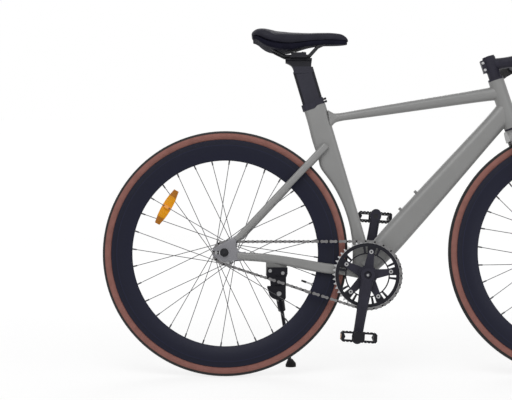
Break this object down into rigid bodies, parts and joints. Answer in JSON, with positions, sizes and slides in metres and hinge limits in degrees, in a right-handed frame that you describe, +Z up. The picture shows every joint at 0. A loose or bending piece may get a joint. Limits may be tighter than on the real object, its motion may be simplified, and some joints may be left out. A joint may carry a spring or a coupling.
{
  "type": "fixed gear bicycle",
  "caption": "Single-speed fixed gear bicycle with aero frame, deep-rim spoked wheels, chain drive, flat bar and side kickstand, standing at a lean.",
  "frame": {"origin": "on the ground, at the middle of the bounding box of the standing bike", "axes": "+X forward, +Y to the rider's left, +Z up; the bike leans 7 degrees towards +Y on its kickstand"},
  "size_m": [1.6418, 0.567, 0.9634],
  "materials": {
    "frame_paint": "satin grey paint",
    "black_alloy": "satin black",
    "silver_hub": "polished",
    "post_paint": "dark slate paint",
    "rim_finish": "satin blue-black",
    "tyre": "matte tread, tan sidewalls",
    "inner_tube_rubber": "matte",
    "spoke_steel": "drawn wire",
    "bolt_steel": "plated",
    "axle_steel": "black oxide",
    "chain_bright": "nickel",
    "chain_dark": "dark steel",
    "amber_lens": "moulded lens",
    "pedal_plastic": "matte",
    "grip_rubber": "matte",
    "saddle_cover": "matte grain"
  },
  "bodies": {
    "frame": {"head_tube": "frame_paint", "top_tube": "frame_paint", "down_tube": "frame_paint", "seat_tube": "frame_paint", "bottom_bracket_shell": "frame_paint", "chainstays": "frame_paint", "seatstays": "frame_paint", "dropouts": "frame_paint", "bottle_bosses": "frame_paint", "seat_clamp": "black_alloy", "seat_clamp_bolts": "bolt_steel", "headset_bearings": "black_alloy", "bottom_bracket_cups": "axle_steel", "kickstand_bracket": "black_alloy", "kickstand_bolts": "bolt_steel", "rear_axle": "axle_steel", "chain_outer_links": "chain_bright", "chain_inner_links": "chain_dark"},
    "kickstand": {"kickstand_leg": "black_alloy", "kickstand_foot": "grip_rubber"},
    "seat": {"seatpost": "post_paint", "saddle_clamp": "black_alloy", "saddle_clamp_bolts": "bolt_steel", "saddle_rails": "axle_steel", "saddle_shell": "pedal_plastic", "saddle_pad": "saddle_cover"},
    "steering": {"fork_steerer": "black_alloy", "fork_crown": "frame_paint", "fork_blades": "frame_paint", "headset_spacers": "black_alloy", "stem": "black_alloy", "stem_faceplate": "black_alloy", "stem_bolts": "bolt_steel", "handlebar": "black_alloy", "grips": "grip_rubber", "front_axle": "axle_steel"},
    "front_wheel": {"front_tyre": "tyre", "front_inner_tube": "inner_tube_rubber", "front_rim": "rim_finish", "front_spokes": "spoke_steel", "front_hub": "black_alloy", "front_reflector": "amber_lens"},
    "rear_wheel": {"rear_tyre": "tyre", "rear_inner_tube": "inner_tube_rubber", "rear_rim": "rim_finish", "rear_spokes": "spoke_steel", "rear_hub": "silver_hub", "rear_reflector": "amber_lens", "rear_cog": "axle_steel", "cog_lockring": "axle_steel"},
    "cranks": {"crank_spindle": "axle_steel", "crank_right": "black_alloy", "crank_left": "black_alloy", "chainring": "black_alloy", "crank_bolts": "bolt_steel", "pedal_axles": "axle_steel"},
    "pedal_right": {"pedal_right": "pedal_plastic", "pedal_right_reflectors": "amber_lens"},
    "pedal_left": {"pedal_left": "pedal_plastic", "pedal_left_reflectors": "amber_lens"}
  },
  "joints": [
    {"name": "steering", "type": "hinge", "parent": "frame", "child": "steering", "pos_m": [0.31947, -0.02312, 0.68442], "axis": [-0.309, 0.1159, 0.944], "range_deg": [-80, 80]},
    {"name": "front_wheel_spin", "type": "hinge", "parent": "steering", "child": "front_wheel", "pos_m": [0.48, -0.06558, 0.33857], "axis": [0, 0.9925, -0.1219], "continuous": true},
    {"name": "rear_wheel_spin", "type": "hinge", "parent": "frame", "child": "rear_wheel", "pos_m": [-0.48, -0.06558, 0.33857], "axis": [0, 0.9925, -0.1219], "continuous": true, "deforming": ["chain_outer_links", "chain_inner_links"]},
    {"name": "crank_spin", "type": "hinge", "parent": "frame", "child": "cranks", "pos_m": [-0.08656, -0.07314, 0.27703], "axis": [0, 0.9925, -0.1219], "continuous": true},
    {"name": "pedal_right_spin", "type": "hinge", "parent": "cranks", "child": "pedal_right", "pos_m": [-0.1155, -0.09356, 0.11076], "axis": [0, 0.9925, -0.1219], "continuous": true},
    {"name": "pedal_left_spin", "type": "hinge", "parent": "cranks", "child": "pedal_left", "pos_m": [-0.05762, -0.05273, 0.4433], "axis": [0, 0.9925, -0.1219], "continuous": true},
    {"name": "kickstand_fold", "type": "hinge", "parent": "frame", "child": "kickstand", "pos_m": [-0.32996, -0.02521, 0.22428], "axis": [0, 0.9877, 0.1564], "range_deg": [0, 95]},
    {"name": "seatpost_slide", "type": "slide", "parent": "frame", "child": "seat", "axis": [-0.2823, 0.1169, 0.9522], "range_m": [-0.05, 0.03]}
  ],
  "couplings": [
    {"joint": "crank_spin", "follows": "rear_wheel_spin", "ratio": 0.32609}
  ]
}
